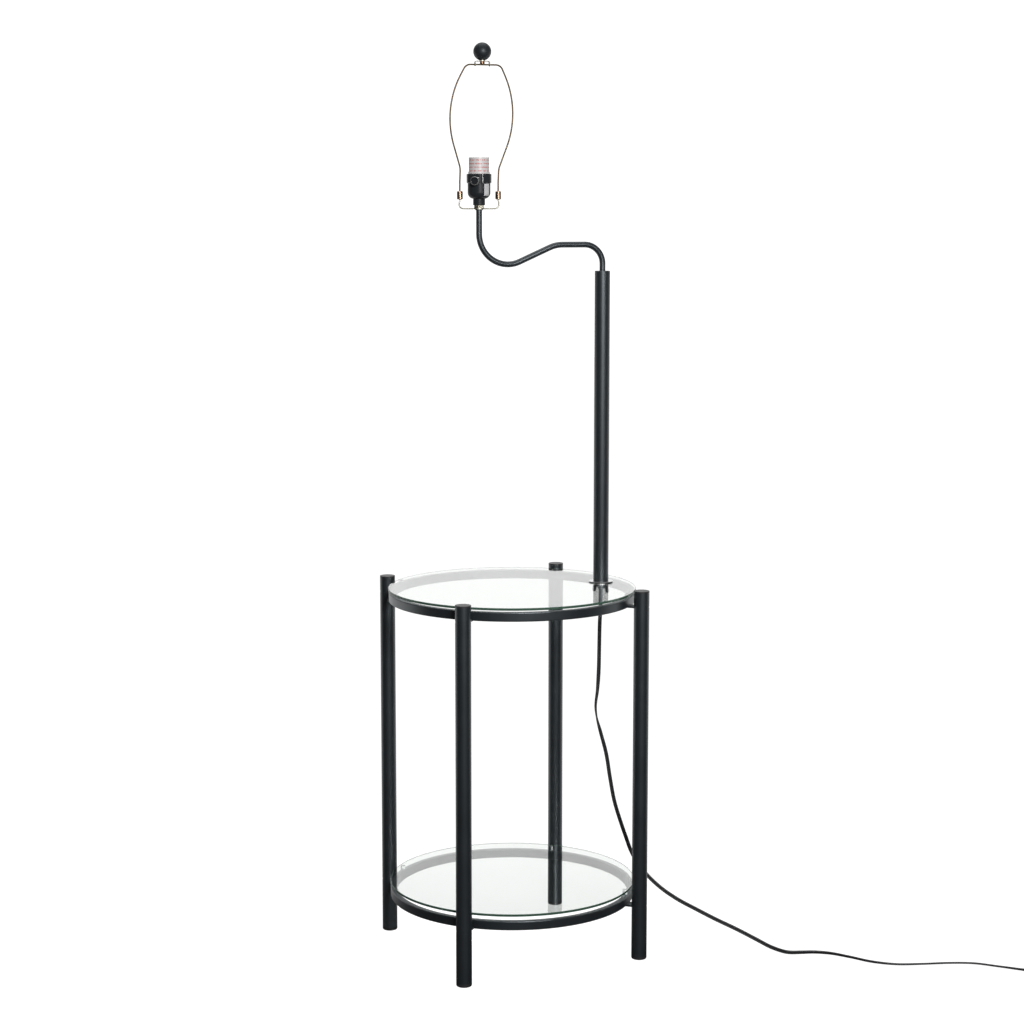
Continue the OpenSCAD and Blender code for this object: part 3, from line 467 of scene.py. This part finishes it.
MATERIALS = {
    "satin_black": satin_paint("satin_black", (0.0085, 0.0105, 0.0125), 0.38, 1.0),
    "ball_black": satin_paint("ball_black", (0.0115, 0.0135, 0.0155), 0.45, 0.4),
    "zinc_steel": metal("zinc_steel", (0.66, 0.67, 0.68), 0.3),
    "black_plastic": moulded("black_plastic", (0.02, 0.02, 0.022), 0.45),
    "pane_glass": clear("pane_glass", (0.76, 0.785, 0.765), 0.0, 1.52, (0.09, 0.17, 0.125)),
    "clear_pad": clear("clear_pad", (0.9, 0.93, 0.92), 0.08, 1.41),
    "black_rubber": moulded("black_rubber", (0.02, 0.02, 0.02), 0.6),
    "gloss_black": moulded("gloss_black", (0.015, 0.0175, 0.0195), 0.12, grained=False),
    "insulator": moulded("insulator", (0.045, 0.04, 0.035), 0.5),
    "white_card": printed_card("white_card", (0.54, 0.51, 0.51), (0.48, 0.22, 0.21), 0.4),
    "pale_brass": metal("pale_brass", (0.50, 0.485, 0.41), 0.45, 25 * MM),
    "pale_steel": metal("pale_steel", (0.22, 0.205, 0.175), 0.42, 10 * MM),
    "dull_brass": metal("dull_brass", (0.26, 0.245, 0.20), 0.35),
    "brown_brass": metal("brown_brass", (0.20, 0.12, 0.075), 0.4, 4 * MM),
    "copper_brass": metal("copper_brass", (0.42, 0.29, 0.21), 0.28, 6 * MM, (1, 1, 0.1)),
    "bronze_wire": metal("bronze_wire", (0.095, 0.085, 0.042), 0.42, 70 * MM, other=(0.135, 0.08, 0.055)),
    "label_black": labelled_black("label_black", (0.016, 0.0185, 0.0215), 0.34, (0.52, 0.52, 0.53)),
    # the knob's pale rim colour (0.15) is a painted highlight
    "knob_black": black_knob_painted_highlight("knob_black", (0.010, 0.012, 0.014), 0.2, (0.15, 0.15, 0.15)),
    "cord_black": moulded("cord_black", (0.018, 0.018, 0.02), 0.42),
    "plug_black": moulded("plug_black", (0.018, 0.018, 0.02), 0.42),
}
# Nodes that look different from the rest of their slot
OWN_LOOK = {"socket_cap": "label_black", "switch_knob": "knob_black", "harp_strap": "pale_steel",
            "saddle_nut": "dull_brass", "shade_stud": "brown_brass"}


def dress(obj, material):
    obj.data.materials.clear()
    obj.data.materials.append(MATERIALS[material])


for part in frame["record"]["subparts"]:
    dress(nodes[part["node"]], OWN_LOOK.get(part["node"], part["material_slot"]))
dress(cord, "cord_black")


# ---- stage and light ----

HEADING = Vector((0.309, 0.951, 0))      # level direction from the camera to the object
SHEET_EDGE = (0.35, 0.95)                # shiny faces see the white sheet between these parts of the heading
WHITE_SHEET = 1.2                        # strength of the white sheet behind the object
DIM_STUDIO = 0.13                        # what shiny faces see of the studio beside and before the object
PLAIN_WORLD = 0.3                        # strength at which the world lights the object
FLOOR_HALF = 14
FLOOR_COLOUR = (0.24, 0.24, 0.24)
FLOOR_DARK = (0.03, 0.03, 0.03)          # what shiny faces see of the floor before the object
FLOOR_GLOW = 0.96                        # added for rays that show the background
FLOOR_ROUGHNESS = 0.9
SHEET_START = (-0.2, 0.8)                # metres along the heading between which shiny faces see it turn white
# Name, place, (width, height), watts and the point that it looks at
LAMPS = [
    ("key", (-0.3, -3.2, 1.95), (0.7, 0.7), 95, (0, 0, 0.7)),
    ("strip", (0.93, -3.04, 1.27), (0.11, 0.4), 7, (-0.056, 0, 1.27)),
    ("top", (0, 0.4, 3.6), (2.5, 2.5), 30, (0, 0, 0.7)),
]


class Stage(Graph):
    """Nodes of the world and the floor, which look different to each kind of ray."""

    def __init__(self, tree):
        super().__init__(tree)
        self.path = self.add("ShaderNodeLightPath")

    def ray(self, kind):
        return self.path.outputs[f"Is {kind} Ray"]

    def ramp(self, source, start, end, low=0.0, high=1.0):
        """Low up to start, high from end on, and smooth between them."""
        node = self.add("ShaderNodeMapRange", interpolation_type="SMOOTHSTEP")
        for socket, value in zip(("From Min", "From Max", "To Min", "To Max"), (start, end, low, high)):
            node.inputs[socket].default_value = value
        self.join(source, node.inputs["Value"])
        return node.outputs["Result"]

    def not_yet(self, kind):
        """1 for rays without a bounce of that kind."""
        return self.ramp(self.path.outputs[f"{kind} Depth"], 0, 1, 1, 0)

    def along_heading(self, where):
        node = self.add("ShaderNodeVectorMath", operation="DOT_PRODUCT")
        node.inputs[1].default_value = HEADING
        self.join(where, node.inputs[0])
        return node.outputs["Value"]

    def white(self, behind):
        """1 for rays that show the background.

        These are camera rays and, where no matt face has scattered them, rays straight through glass
        and mirrored ones that go behind the object.
        """
        straight = self.maths("MULTIPLY", self.ray("Transmission"), self.not_yet("Glossy"))
        shiny = self.maths("MAXIMUM", self.ray("Glossy"), self.ray("Transmission"))
        either = self.maths("MAXIMUM", straight, self.maths("MULTIPLY", shiny, behind))
        undimmed = self.maths("MULTIPLY", self.not_yet("Diffuse"), either)
        return self.maths("MAXIMUM", self.ray("Camera"), undimmed)


def make_world():
    world = bpy.data.worlds.new("studio")
    bpy.context.scene.world = world
    world.use_nodes = True
    stage = Stage(world.node_tree)
    behind = stage.ramp(stage.along_heading(stage.coordinates("Generated")), *SHEET_EDGE)
    strength = stage.add("ShaderNodeMix", B=WHITE_SHEET)
    stage.join(stage.white(behind), strength.inputs["Factor"])
    stage.join(stage.ramp(stage.ray("Glossy"), 0, 1, PLAIN_WORLD, DIM_STUDIO), strength.inputs["A"])
    shade = stage.tree.nodes["Background"]
    shade.inputs["Color"].default_value = (1, 1, 1, 1)
    stage.join(strength.outputs["Result"], shade.inputs["Strength"])


def make_floor():
    corners = [(x * FLOOR_HALF, y * FLOOR_HALF, 0) for x, y in ((-1, -1), (1, -1), (1, 1), (-1, 1))]
    floor = add_mesh("floor", corners, [(0, 1, 2, 3)], smooth=False)
    material = bpy.data.materials.new("floor")
    material.use_nodes = True
    stage = Stage(material.node_tree)
    main = stage.tree.nodes["Principled BSDF"]
    main.inputs["Roughness"].default_value = FLOOR_ROUGHNESS
    main.inputs["Specular IOR Level"].default_value = 0
    main.inputs["Emission Color"].default_value = (1, 1, 1, 1)
    behind = stage.ramp(stage.along_heading(stage.coordinates()), *SHEET_START)
    stage.join(stage.ramp(stage.white(behind), 0, 1, 0, FLOOR_GLOW), main.inputs["Emission Strength"])
    before = stage.maths("MULTIPLY", stage.ray("Glossy"), stage.ramp(behind, 0, 1, 1, 0))
    stage.join(stage.mix_colours(before, FLOOR_COLOUR, FLOOR_DARK), main.inputs["Base Color"])
    floor.data.materials.append(material)


def area_light(name, at, size, power, aim):
    """Rectangular lamp of (width, height) that looks at aim."""
    data = bpy.data.lights.new(name, "AREA")
    data.shape = "RECTANGLE"
    data.energy = power
    data.size, data.size_y = size
    lamp = bpy.data.objects.new(name, data)
    lamp.location = at
    lamp.rotation_euler = (Vector(aim) - Vector(at)).to_track_quat("-Z", "Y").to_euler()
    bpy.context.scene.collection.objects.link(lamp)


make_world()
make_floor()
for lamp in LAMPS:
    area_light(*lamp)

scene = bpy.context.scene
scene.view_settings.view_transform = "Standard"
